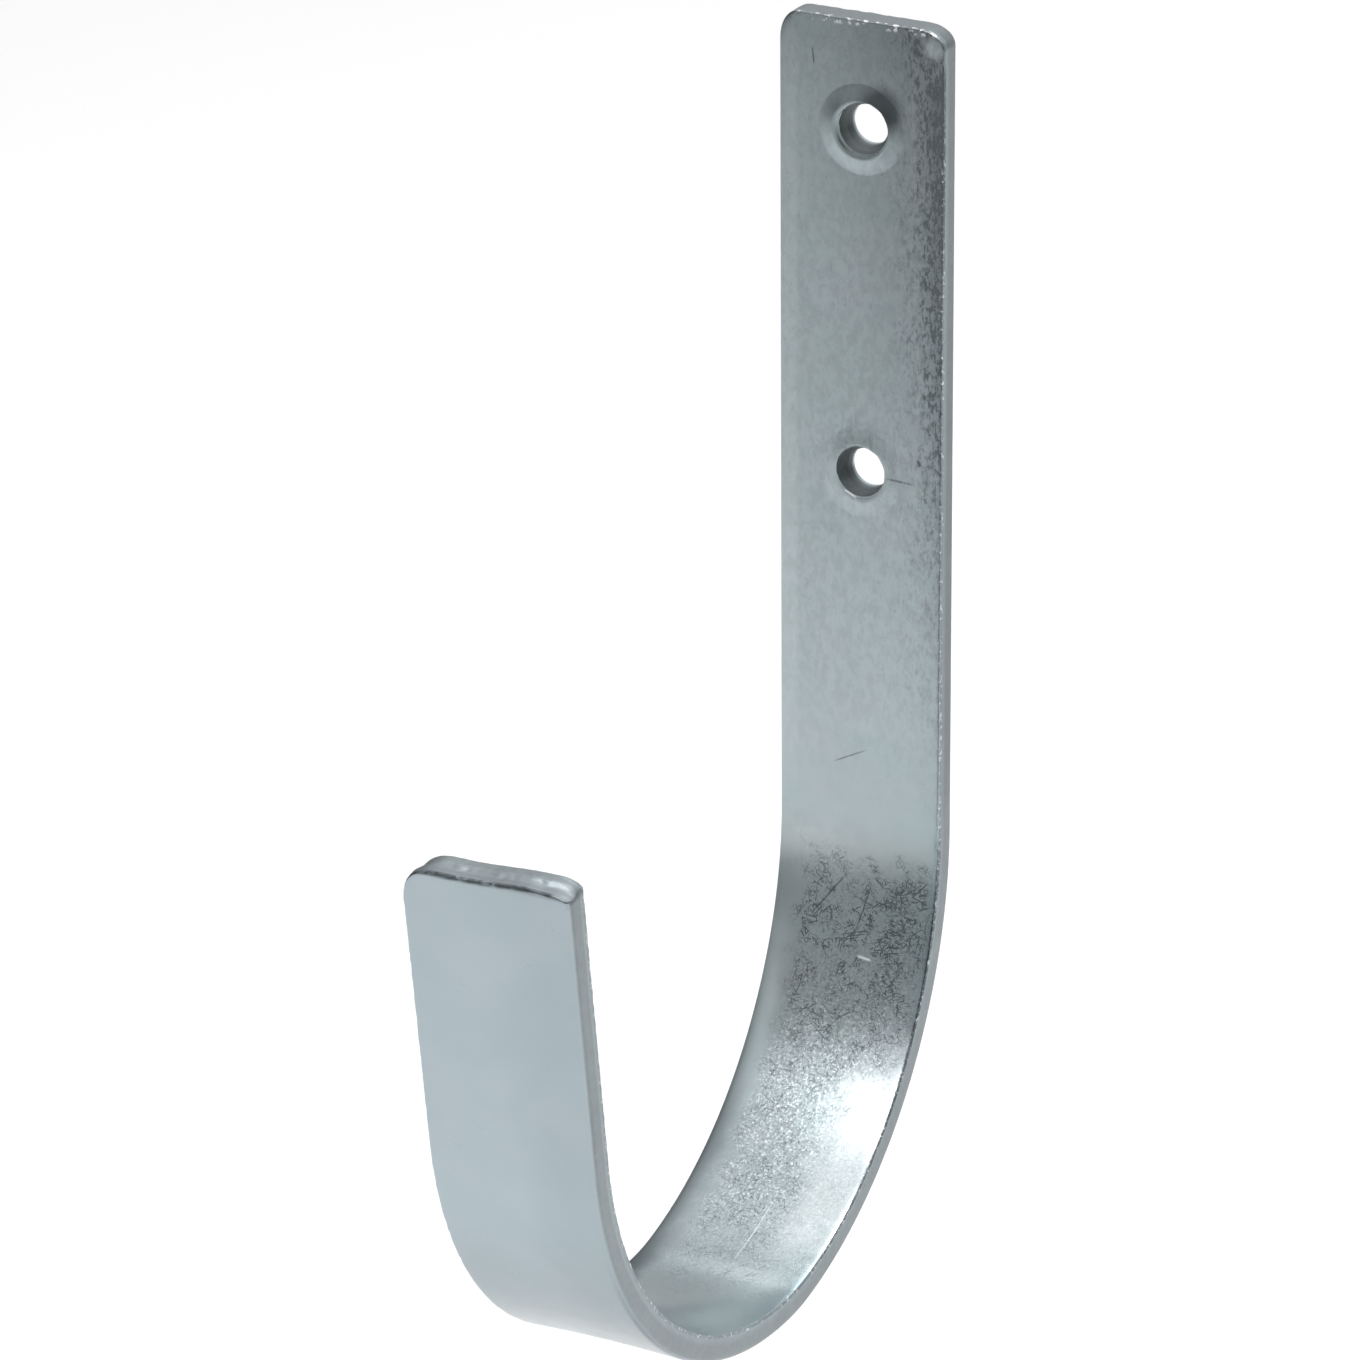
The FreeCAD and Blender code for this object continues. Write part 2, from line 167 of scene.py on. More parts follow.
SMUDGE_COLOUR = (0.3, 0.34, 0.35)
# Near white for polish and for painted highlights.
POLISH_COLOUR = (0.86, 0.92, 0.94)
# Near white for painted glints.
SPECK_COLOUR = (0.95, 0.97, 0.98)
PLATE_SIDE_COLOUR = (0.12, 0.13, 0.135)
# The most that wear, scratches and painted shade may darken the plating.
MOST_WORN = 0.92
HOLE_METALLIC = 0.3
BUMP_STRENGTH = 0.4
BUMP_DISTANCE = 0.02 * MM

# The stage, in metres and degrees.
FLOOR_SIZE = 6.0
FLOOR_ROUGHNESS = 0.7
FLOOR_SPECULAR = 0.2
POOL_PLACE = (0.0, 0.51, 4.0)
POOL_CONE = 34.5
POOL_BLEND = 0.35
POOL_RADIUS = 0.4
# Soft lights, each as its name, place, target and size.
SOFT_LIGHTS = (
    ("overhead", (0.5, 0.0, 1.0), (0.5, 0.0, 0.0), 2.8),
    ("front", (-1.2, -2.6, 0.6), (0.0, 0.0, 0.0), 2.0),
    ("back", (0.2, 3.0, 1.0), (0.2, 0.0, 1.0), 5.0),
    ("key", (-0.12, -0.49, 0.77), (0.0, -0.04, -0.09), 0.34),
)
CAMERA_PLACE = (0.44335, -0.88456, 0.36262)
CAMERA_AZIMUTH = 28.186
CAMERA_ELEVATION = 23.0
CAMERA_ROLL = -0.4395
CAMERA_LENS = 203.13
CAMERA_SENSOR = 36.0
CAMERA_CLIP = (0.05, 50.0)


def corner_inset(distance, reach, depth):
    """How far an elliptic corner pulls an edge in, at a distance from the end that it leads to."""
    if distance >= reach:
        return 0.0
    part = (reach - max(distance, 0.0)) / reach
    return depth * (1 - math.sqrt(1 - part * part))


def smooth_step(low, high, value):
    """0 below low, 1 above high and a soft ramp between."""
    part = min(max((value - low) / (high - low), 0.0), 1.0)
    return part * part * (3 - 2 * part)


def blend(share, first, second):
    """A value between two others: the first at share 0 and the second at share 1."""
    return first + (second - first) * share


def hump(distance, width):
    """1 at no distance, and falling off to nothing over the width."""
    return math.exp(-((distance / width) ** 2))


def link_object(name, data):
    """Puts new data into the scene as an object."""
    made = bpy.data.objects.new(name, data)
    bpy.context.scene.collection.objects.link(made)
    return made


def mesh_object(name, bm):
    """Turns a bmesh into an object in the scene."""
    mesh = bpy.data.meshes.new(name)
    bm.to_mesh(mesh)
    bm.free()
    return link_object(name, mesh)


def section_grid(bm, shape):
    """The strip's section: rolled at two opposite corners, nearly sharp at the other two."""
    bmesh.ops.create_grid(bm, x_segments=SECTION_COLUMNS, y_segments=SECTION_ROWS, size=1.0)
    roll = shape.edge_roll
    for vert in bm.verts:
        from_outer = THICKNESS * (1 - math.cos(math.pi * (1 - vert.co.y) / 2)) / 2
        from_inner = THICKNESS - from_outer
        low = -HALF_WIDTH
        low += corner_inset(from_inner, LEFT_INNER_ROLL[1], LEFT_INNER_ROLL[0])
        low += corner_inset(from_outer, LEFT_OUTER_BREAK[1], LEFT_OUTER_BREAK[0])
        high = HALF_WIDTH
        high -= corner_inset(from_outer, roll, roll)
        high -= corner_inset(from_inner, RIGHT_INNER_BREAK[1], RIGHT_INNER_BREAK[0])
        vert.co = (blend((vert.co.x + 1) / 2, low, high), -from_outer, 0)


def end_places(reaches):
    """Distances from a sheared end at which its round corners get a ring of points."""
    quarter = [math.radians(90 * k / CORNER_RINGS) for k in range(1, CORNER_RINGS + 1)]
    wanted = sorted(reach * (1 - math.cos(angle)) for angle in quarter for reach in reaches)
    kept = wanted[:1]
    for place in wanted[1:]:
        if place - kept[-1] > SMALLEST_RING_GAP:
            kept.append(place)
    return kept


def draw_out(bm, cap, distance):
    """Extrudes the faces of an end down the strip and returns the moved faces."""
    parts = dict.fromkeys(item for face in cap for item in (*face.edges, *face.verts))
    made = bmesh.ops.extrude_face_region(bm, geom=[*cap, *parts])["geom"]
    moved = [item for item in made if isinstance(item, bmesh.types.BMVert)]
    bmesh.ops.translate(bm, vec=(0, 0, -distance), verts=moved)
    return [item for item in made if isinstance(item, bmesh.types.BMFace)]


def end_insets(distance, corners):
    """How far the left and the right corner of an end pull the sides in."""
    return [corner_inset(distance, along, across) for across, along in corners]


def rounded_across(across, outer, along, from_tip):
    """A point's place across the strip once the corners of both ends are rounded."""
    left, right = end_insets(along, PLATE_CORNERS)
    outer_left, outer_right = end_insets(from_tip, TIP_OUTER_CORNERS)
    inner_left, inner_right = end_insets(from_tip, TIP_INNER_CORNERS)
    left += blend(outer, inner_left, outer_left)
    right += blend(outer, inner_right, outer_right)
    share = (across + HALF_WIDTH) / (2 * HALF_WIDTH)
    return blend(share, left - HALF_WIDTH, HALF_WIDTH - right)


def rolled_depth(shape, across, depth, along, from_tip):
    """A point's depth once the outer edge of both ends is rolled over."""
    uneven = 0.8 + 0.5 * noise.noise(Vector((across / MM * 0.5, 7.0, from_tip / MM)))
    roll = shape.end_roll * uneven * (1 - 0.8 * hump(across - ROLL_BREAK[0], ROLL_BREAK[1]))
    reach = 2.6 * shape.end_roll
    outer_drop = corner_inset(from_tip, reach, roll) + corner_inset(along, reach, roll)
    inner_drop = corner_inset(from_tip, END_EDGE, END_EDGE)
    inner_drop += corner_inset(along, END_EDGE, 0.5 * END_EDGE)
    return blend(-depth / THICKNESS, -outer_drop, inner_drop - THICKNESS)


def torn_end(shape, across, depth, along, from_tip):
    """How far the torn face of an end moves a point along the strip."""
    place = Vector((across / MM, depth / MM, along / MM * 0.1))
    torn = noise.noise(place * 1.1) + 0.6 * noise.noise(place * 2.7)
    end_share = smooth_step(TORN_END_LENGTH, 0.0, min(along, from_tip))
    inward = -1 if along < from_tip else 1
    return inward * shape.tear_depth * 0.45 * end_share * max(0.8 + torn, 0.0)


def shape_ends(bm, shape):
    """Gives both sheared ends their round corners, rolled edge, step and torn face."""
    for vert in bm.verts:
        across, depth = vert.co.x, vert.co.y
        along = PLATE_TOP - vert.co.z
        from_tip = STRIP_LENGTH - along
        if min(along, from_tip) > END_LENGTH:
            continue
        outer = smooth_step(-0.65 * THICKNESS, -0.35 * THICKNESS, depth)
        near_side = smooth_step(0.55 * HALF_WIDTH, 0.85 * HALF_WIDTH, abs(across))
        right_side = smooth_step(-0.55 * HALF_WIDTH, 0.75 * HALF_WIDTH, across)
        step = shape.tip_step * blend(right_side * near_side, 1.0, 1.5) * outer
        vert.co.x = rounded_across(across, outer, along, from_tip)
        vert.co.y = rolled_depth(shape, across, depth, along, from_tip)
        vert.co.z += step * smooth_step(STEP_LENGTH, 0.0, from_tip)
        vert.co.z -= shape.tip_slant * right_side * smooth_step(END_LENGTH, 0.0, from_tip)
        vert.co.z += torn_end(shape, across, depth, along, from_tip)


def tear_sides(bm, shape):
    """The sheared sides: a torn, slightly slanted band next to a chipped burr line."""
    for vert in bm.verts:
        side = 1 if vert.co.x > 0 else -1
        from_side = HALF_WIDTH - abs(vert.co.x)
        from_burr = THICKNESS + vert.co.y if side > 0 else -vert.co.y
        along = PLATE_TOP - vert.co.z
        if from_side > SIDE_REACH or from_burr > TORN_BAND:
            continue
        grain = noise.noise(Vector((side * 9.0, from_burr / MM * 1.7, along / MM * 1.3)))
        slant = smooth_step(TORN_BAND, 0.9 * TORN_BAND, from_burr)
        vert.co.x -= side * shape.tear_depth * slant * (0.75 + 0.5 * grain)
        if from_burr < CHIP_BAND:
            chip = 0.5 + 0.5 * noise.noise(Vector((side * 31.0, 0.0, along / MM * 0.9)))
            chip += 0.5 * noise.noise(Vector((side * 57.0, 0.0, along / MM * 2.6)))
            amount = shape.burr_chips * max(chip, 0.0)
            vert.co.x -= side * amount
            vert.co.y += side * amount * 0.6


def flat_strip(shape):
    """The sheared strip before it is bent, as a mesh object."""
    bm = bmesh.new()
    section_grid(bm, shape)
    bmesh.ops.translate(bm, vec=(0, 0, PLATE_TOP), verts=bm.verts)
    near_top = end_places([along for across, along in PLATE_CORNERS])
    near_tip = end_places([along for across, along in (*TIP_OUTER_CORNERS, *TIP_INNER_CORNERS)])
    cap = bm.faces[:]
    done = 0.0
    for place in near_top:
        cap = draw_out(bm, cap, place - done)
        done = place
    stretch = STRIP_LENGTH - near_top[-1] - near_tip[-1]
    cap = draw_out(bm, cap, stretch)
    lengthwise = [edge for edge in bm.edges if edge.calc_length() > stretch / 2]
    rings = round(stretch / shape.ring_spacing)
    bmesh.ops.subdivide_edges(bm, edges=lengthwise, cuts=rings - 1)
    for near, far in zip(near_tip[::-1], near_tip[-2::-1] + [0.0]):
        cap = draw_out(bm, cap, near - far)
    tear_sides(bm, shape)
    shape_ends(bm, shape)
    bmesh.ops.recalc_face_normals(bm, faces=bm.faces)
    return mesh_object("flat_strip", bm)


def lathe(name, profile, height, reshape=None):
    """A closed body turned about a hole's axis. The profile is a list of (radius, depth)."""
    bm = bmesh.new()
    points = [bm.verts.new((radius, depth, height)) for radius, depth in profile]
    edges = [bm.edges.new(pair) for pair in zip(points, points[1:])]
    bmesh.ops.spin(
        bm,
        geom=points + edges,
        cent=(0, 0, height),
        axis=(0, 1, 0),
        angle=math.tau,
        steps=HOLE_STEPS,
        use_merge=True,
    )
    bmesh.ops.remove_doubles(bm, verts=bm.verts, dist=0.001 * MM)
    if reshape:
        for vert in bm.verts:
            reshape(vert)
    bmesh.ops.recalc_face_normals(bm, faces=bm.faces)
    return mesh_object(name, bm)


def bulge(height, rise):
    """Metal pushed out of the front by the punch: a low rim round the hole."""
    inside = MM - THICKNESS
    top = MOUTH_RADIUS + RIM_WIDTH
    profile = [(0.0, inside), (BULGE_RADIUS, inside), (BULGE_RADIUS, -THICKNESS - BULGE_FOOT)]
    for k in range(1, PROFILE_STEPS + 1):
        part = k / PROFILE_STEPS
        radius = blend(part, BULGE_RADIUS, top)
        profile.append((radius, -THICKNESS - blend(part ** 1.3, BULGE_FOOT, rise)))
    for degrees in (20, 40, 60, 80):
        turn = math.radians(degrees)
        radius = top - RIM_ROUND * math.sin(turn)
        profile.append((radius, -THICKNESS - rise + 0.35 * rise * (1 - math.cos(turn))))
    profile.append((0.0, -THICKNESS - 0.65 * rise))
    return lathe("bulge", profile, height)


def punch(height, rise, shift, seed):
    """The space that one punched hole takes: straight at the wall, torn wider at the front."""
    clear = 1 * MM
    straight_end = MOUTH_DEPTH - THICKNESS
    rim = -THICKNESS - 0.7 * rise
    profile = [(0.0, clear), (HOLE_RADIUS, clear), (HOLE_RADIUS, straight_end)]
    for k in range(1, PROFILE_STEPS + 1):
        part = k / PROFILE_STEPS
        profile.append((blend(part, HOLE_RADIUS, MOUTH_RADIUS), blend(part, straight_end, rim)))
    profile.append((MOUTH_RADIUS + 0.15 * MM, rim - clear))
    profile.append((0.0, rim - clear))

    def tear(vert):
        outward = Vector((vert.co.x, 0, vert.co.z - height))
        radius = outward.length
        if radius <= HOLE_RADIUS + 0.01 * MM:
            return
        place = vert.co / MM
        place.x += seed
        grain = noise.noise(place * 1.4) + 0.5 * noise.noise(place * 3.1)
        fade = smooth_step(HOLE_RADIUS, HOLE_RADIUS + 0.3 * MM, radius)
        vert.co += outward.normalized() * grain * fade * MOUTH_TEAR
        torn = smooth_step(straight_end, 0.2 * MM - THICKNESS, vert.co.y)
        vert.co += Vector((shift[0], 0, shift[1])) * torn

    return lathe("punch", profile, height, tear)


def punch_holes(strip):
    """Raises the bulges and takes both screw holes out of the flat strip."""
    tools = []
    for height, rise, shift, seed in zip(HOLE_HEIGHTS, BULGE_HEIGHTS, MOUTH_SHIFTS, MOUTH_SEEDS):
        tools.append((bulge(height, rise), "UNION"))
        tools.append((punch(height, rise, shift, seed), "DIFFERENCE"))
    for tool, operation in tools:
        cut = strip.modifiers.new(tool.name, "BOOLEAN")
        cut.operation = operation
        cut.solver = "EXACT"
        cut.object = tool
    graph = bpy.context.evaluated_depsgraph_get()
    punched = bpy.data.meshes.new_from_object(strip.evaluated_get(graph))
    old = strip.data
    strip.modifiers.clear()
    strip.data = punched
    bpy.data.meshes.remove(old)
    for tool, operation in tools:
        mesh = tool.data
        bpy.data.objects.remove(tool)
        bpy.data.meshes.remove(mesh)


def note_strip_places(mesh):
    """Stores where each point lies on the flat strip and how sheared it is, for the finish."""
    mesh.attributes.new(STRIP_DATA, "FLOAT_VECTOR", "POINT")
    mesh.attributes.new(SHEAR_DATA, "FLOAT", "POINT")
    places = mesh.attributes[STRIP_DATA].data
    shears = mesh.attributes[SHEAR_DATA].data
    for vert, place, shear in zip(mesh.vertices, places, shears):
        place.vector = (vert.co.x / MM, vert.co.y / MM, (PLATE_TOP - vert.co.z) / MM)
        shear.value = smooth_step(0.75, 0.45, abs(vert.normal.y))


def route_at(along):
    """The middle line's place, and the direction from it to the outer face, at a distance down it."""
    point = Vector((0, -THICKNESS / 2, PLATE_TOP))
    down = Vector((0, 0, -1))
    if along <= PLATE_HEIGHT:
        return point + down * along, Vector((0, 1, 0))
    point += down * PLATE_HEIGHT
    along -= PLATE_HEIGHT
    turned = 0.0
    for radius, degrees in BENDS:
        outward = Vector((0, math.cos(turned), -math.sin(turned)))
        centre = point - outward * radius
        sweep = min(along / radius, math.radians(degrees))
        turned += sweep
        along -= sweep * radius
        outward = Vector((0, math.cos(turned), -math.sin(turned)))
        point = centre + outward * radius
    onward = Vector((0, -math.sin(turned), -math.cos(turned)))
    return point + onward * along, outward


def bend_strip(mesh, shape):
    """Bends the flat strip along its route. The bends also curl it a little crosswise."""
    bend_end = STRIP_LENGTH - TIP_LENGTH
    for vert in mesh.vertices:
        across, depth = vert.co.x, vert.co.y
        along = PLATE_TOP - vert.co.z
        bent = smooth_step(PLATE_HEIGHT - BEND_FADE, PLATE_HEIGHT + BEND_FADE, along)
        bent *= 1 - smooth_step(bend_end - BEND_FADE, bend_end + BEND_FADE, along)
        curl = shape.crosswise_curl * bent * (1 - (across / HALF_WIDTH) ** 2)
        point, outward = route_at(along)
        place = point + outward * (depth + THICKNESS / 2 - curl)
        inside = (max(value, low) for value, low in zip((across, place.y, place.z), CAD_LOW))
        vert.co = [min(value, high) for value, high in zip(inside, CAD_HIGH)]


def rgba(colour):
    """A colour with full opacity, as a node's socket takes it."""
    return tuple(colour) + (1.0,)


class NodeBench:
    """Short calls for wiring a material."""

    def __init__(self, material):
        material.use_nodes = True
        self.tree = material.node_tree
        self.tree.nodes.clear()

    def node(self, kind, **settings):
        """A new node with its settings."""
        made = self.tree.nodes.new(kind)
        for name, value in settings.items():
            setattr(made, name, value)
        return made

    def feed(self, socket, value):
        """Links a socket to another, or sets its plain value."""
        if isinstance(value, bpy.types.NodeSocket):
            self.tree.links.new(value, socket)
        else:
            socket.default_value = value

    def fill(self, made, *values):
        """Feeds the first inputs of a node in order and returns its first output."""
        for socket, value in zip(made.inputs, values):
            self.feed(socket, value)
        return made.outputs[0]

    def math(self, operation, *values):
        """One sum on plain values."""
        return self.fill(self.node("ShaderNodeMath", operation=operation), *values)

    def minus(self, first, second):
        """The first value less the second."""
        return self.math("SUBTRACT", first, second)

    def chain(self, operation, values):
        """The same sum carried on over several values."""
        result = values[0]
        for value in values[1:]:
            result = self.math(operation, result, value)
        return result

    def product(self, *values):
        """The product of several values."""
        return self.chain("MULTIPLY", values)

    def highest(self, *values):
        """The highest of several values."""
        return self.chain("MAXIMUM", values)

    def total(self, *values):
        """The sum of several values. A tuple among them stands for its product."""
        return self.chain("ADD", [self.product(*v) if isinstance(v, tuple) else v for v in values])

    def ramp(self, value, low, high, to_low=0.0, to_high=1.0):
        """A soft ramp of a value from one range into another."""
        made = self.node("ShaderNodeMapRange", interpolation_type="SMOOTHSTEP", clamp=True)
        return self.fill(made, value, low, high, to_low, to_high)

    def fall(self, value, low, high):
        """1 below low, 0 above high and a soft ramp between."""
        return self.ramp(value, low, high, 1.0, 0.0)

    def band(self, value, start, end, soft):
        """1 between start and end, with soft edges of the given width."""
        rise = self.ramp(value, start - soft, start + soft)
        return self.product(rise, self.fall(value, end - soft, end + soft))

    def vector(self, operation, first, second):
        """One sum on two vectors."""
        return self.fill(self.node("ShaderNodeVectorMath", operation=operation), first, second)

    def distance(self, across, along):
        """The length of a way across and along the strip."""
        way = self.fill(self.node("ShaderNodeCombineXYZ"), across, 0.0, along)
        made = self.node("ShaderNodeVectorMath", operation="LENGTH")
        self.fill(made, way)
        return made.outputs["Value"]

    def parts(self, vector):
        """The three values of a vector."""
        made = self.node("ShaderNodeSeparateXYZ")
        self.fill(made, vector)
        return made.outputs

    def noise(self, place, scale, detail, roughness, distortion=0.0):
        """Cloudy noise between 0 and 1."""
        made = self.node("ShaderNodeTexNoise")
        self.feed(made.inputs["Vector"], place)
        self.feed(made.inputs["Scale"], scale)
        self.feed(made.inputs["Detail"], detail)
        self.feed(made.inputs["Roughness"], roughness)
        self.feed(made.inputs["Distortion"], distortion)
        return made.outputs["Fac"]

    def mix_colour(self, share, first, second, mode="MIX"):
        """The first colour at share 0 and the second, mixed in by the mode, at share 1."""
        made = self.node("ShaderNodeMix", data_type="RGBA", blend_type=mode)
        self.feed(made.inputs["Factor"], share)
        self.feed(made.inputs["A"], first)
        self.feed(made.inputs["B"], second)
        return made.outputs["Result"]

    def surface(self, shader):
        """Puts a shader on the material's surface."""
        output = self.node("ShaderNodeOutputMaterial")
        self.feed(output.inputs["Surface"], shader.outputs["BSDF"])


class StripPoint:
    """What is known at each point of the strip: its place, and the patterns and masks added below."""

    def __init__(self, bench):
        self.place = bench.node("ShaderNodeAttribute", attribute_name=STRIP_DATA).outputs["Vector"]
        self.sheared = bench.node("ShaderNodeAttribute", attribute_name=SHEAR_DATA).outputs["Fac"]
        self.across, self.through, self.along = bench.parts(self.place)
        self.from_tip = bench.minus(STRIP_LENGTH / MM, self.along)
        self.flat = bench.minus(1.0, self.sheared)
        self.inner = bench.product(bench.fall(self.through, -3.9, -3.5), self.flat)
        self.front = bench.ramp(self.through, -3.3, -3.6)
        self.back = bench.ramp(self.through, -0.6, -0.2)


def scattered_scratches(bench, place, cell, width, length, seed):
    """Short straight scratches, one in each cell of a loose pattern, each turned its own way."""
    shifted = bench.vector("ADD", place, (seed, seed * 1.7, seed * 0.6))
    scaled = bench.node("ShaderNodeVectorMath", operation="SCALE")
    bench.feed(scaled.inputs["Scale"], 1 / cell)
    in_cells = bench.fill(scaled, shifted)
    cells = bench.node("ShaderNodeTexVoronoi", voronoi_dimensions="3D", feature="F1")
    bench.feed(cells.inputs["Vector"], in_cells)
    bench.feed(cells.inputs["Scale"], 1.0)
    local = bench.vector("SUBTRACT", in_cells, cells.outputs["Position"])
    chance = bench.node("ShaderNodeSeparateColor")
    bench.feed(chance.inputs["Color"], cells.outputs["Color"])
    turned = bench.node("ShaderNodeVectorRotate", rotation_type="Y_AXIS")
    bench.feed(turned.inputs["Vector"], local)
    bench.feed(turned.inputs["Angle"], bench.product(chance.outputs["Red"], math.tau))
    off, _, down = bench.parts(turned.outputs["Vector"])
    thin = bench.fall(bench.math("ABSOLUTE", off), 0.3 * width / cell, width / cell)
    short = bench.fall(bench.math("ABSOLUTE", down), 0.3 * length / cell, 0.5 * length / cell)
    return bench.product(thin, short, bench.ramp(chance.outputs["Green"], 0.2, 0.7))


def single_mark(bench, at, start, end, width):
    """One straight mark between two places on the strip."""
    run = (end[0] - start[0], end[1] - start[1])
    length = math.hypot(*run)
    unit = (run[0] / length, run[1] / length)
    across = bench.minus(at.across, start[0])
    along = bench.minus(at.along, start[1])
    down = bench.total((across, unit[0]), (along, unit[1]))
    off = bench.total((across, unit[1]), (along, -unit[0]))
    thin = bench.fall(bench.math("ABSOLUTE", off), 0.35 * width, width)
    return bench.product(thin, bench.band(down, 0.1 * length, 0.9 * length, 0.1 * length))


def all_marks(bench, at, marks):
    """Several single marks in one mask."""
    return bench.highest(*[single_mark(bench, at, *mark) for mark in marks])


def round_spot(bench, at, middle, whole_radius, full_radius):
    """A soft round spot on the inner face."""
    radius = bench.distance(bench.minus(at.across, middle[0]), bench.minus(at.along, middle[1]))
    return bench.product(bench.fall(radius, whole_radius, full_radius), at.inner)


def find_patterns(bench, at):
    """The noises that the finish is made of, from the widest clouds to the finest grain."""
    at.cloud = bench.noise(at.place, 0.055, 4.0, 0.55, 0.6)
    at.tint = bench.noise(bench.vector("ADD", at.place, (40.0, 0.0, 9.0)), 0.12, 3.0, 0.5)
    at.wander = bench.minus(bench.noise(at.place, 0.22, 3.0, 0.6), 0.5)
    at.blotch = bench.noise(at.place, 0.35, 3.0, 0.5, 0.3)
    at.smudge = bench.noise(
        bench.vector("MULTIPLY", at.place, (1.0, 1.0, 0.6)), 0.75, 4.0, 0.65, 0.4)
    at.chips = bench.ramp(bench.noise(at.place, 1.3, 3.0, 0.7), 0.4, 0.5, 0.25, 1.0)
    at.dents = bench.noise(at.place, 1.6, 3.0, 0.6)
    at.flecks = bench.noise(
        bench.vector("MULTIPLY", at.place, (1.0, 1.0, 0.45)), 2.1, 4.0, 0.7, 0.4)
    at.torn = bench.noise(at.place, 2.2, 3.0, 0.7)
    # speckle for the painted glints in the bend
    at.bright_speckle = bench.noise(
        bench.vector("ADD", at.place, (3.0, 70.0, 5.0)), 2.2, 3.0, 0.75)
    at.speckle = bench.noise(at.place, 2.4, 3.0, 0.75)
    at.grain = bench.noise(at.place, 8.0, 2.0, 0.6)
    # the place across and along the strip, shifted for masks whose edges wander
    at.side = bench.total(at.across, (at.wander, 9.0))
    at.down = bench.total(at.along, (at.wander, 20.0))


def find_plate_wear(bench, at):
    """Where the inner face of the plate is polished, dulled and stained and has wear, and where painted
    shade and painted highlights go.
    """
    polish_place = bench.total(at.along, (at.wander, 5.0))
    at.polish = bench.product(bench.band(polish_place, 120.5, 126.0, 3.5), at.inner)
    at.on_plate = bench.product(at.inner, bench.fall(at.along, 90.0, 125.0))
    at.lower_plate = bench.product(at.inner, bench.band(at.along, 70.0, 122.0, 12.0))
    # painted highlight along the rounded left edge of the plate
    at.left_edge = bench.product(at.on_plate, bench.fall(at.across, -10.4, -9.2))
    at.right_edge = bench.product(
        bench.ramp(at.across, 8.0, 12.3), at.inner, bench.ramp(at.along, 5.5, 8.5),
        bench.ramp(at.along, 25.0, 110.0, 1.0, 0.25))
    at.right_wear = bench.product(
        bench.ramp(at.side, -3.0, 13.5), bench.ramp(at.side, 2.0, 13.0), at.inner,
        bench.fall(at.along, 30.0, 125.0))
    # painted shade: the plate darker towards its right, at its top and over its upper part
    at.right_shade = bench.product(
        at.inner, bench.ramp(at.across, -9.0, 9.0), bench.fall(at.along, 10.0, 105.0))
    at.top_shade = bench.product(at.inner, bench.fall(at.along, 0.0, 16.0))
    at.high_shade = bench.product(at.inner, bench.fall(at.along, 10.0, 85.0))
    at.bright_corner = round_spot(bench, at, *BRIGHT_CORNER)
    at.stain = round_spot(bench, at, *STAIN)
    at.faint_stain = round_spot(bench, at, *FAINT_STAIN)


def find_bend_wear(bench, at):
    """Where the inner face of the bend has wear and scratches and is left smooth, and where painted
    highlights and painted shade go.
    """
    in_bend = bench.product(bench.ramp(at.down, 121.0, 127.0), bench.fall(at.down, 176.0, 208.0))
    margin_place = bench.total(at.across, (at.wander, 3.0))
    # The smooth left margin of the bend, with painted shade near the start of the bend and further down,
    # and a painted highlight between.
    at.left_margin = bench.product(
        at.inner, bench.fall(margin_place, -11.2, -7.4), bench.ramp(at.along, 112.0, 128.0, 0.0, 0.85))
    # painted highlight on the right of the bend, where the key light shines; there is less wear under it
    at.shiny = bench.product(
        at.inner, bench.ramp(at.side, 1.5, 7.5), bench.band(at.down, 154.0, 186.0, 9.0))
    at.bend_wear = bench.product(
        at.inner, in_bend, bench.ramp(at.side, -10.5, -6.5), bench.ramp(at.across, 10.6, 12.0, 1.0, 0.3),
        bench.minus(1.0, at.left_margin), bench.ramp(at.shiny, 0.0, 1.0, 1.0, 0.35))
    dense = bench.ramp(bench.noise(at.place, 0.42, 3.0, 0.65), 0.42, 0.56, 0.12, 1.0)
    clump = bench.product(
        bench.band(at.side, 5.2, 9.2, 1.6), bench.band(at.down, 126.0, 142.0, 4.0),
        bench.ramp(dense, 0.1, 1.0, 0.55, 1.0))
    at.clump = bench.product(clump, at.inner)
    # The lowest part of the bend's inner face: painted highlight on its right, painted shade on its left.
    at.low_bend = bench.product(at.inner, bench.band(at.along, 194.0, 224.0, 10.0))
    at.scratched = bench.product(
        at.bend_wear, bench.highest(dense, clump), bench.ramp(at.along, 138.0, 160.0, 1.0, 0.6))


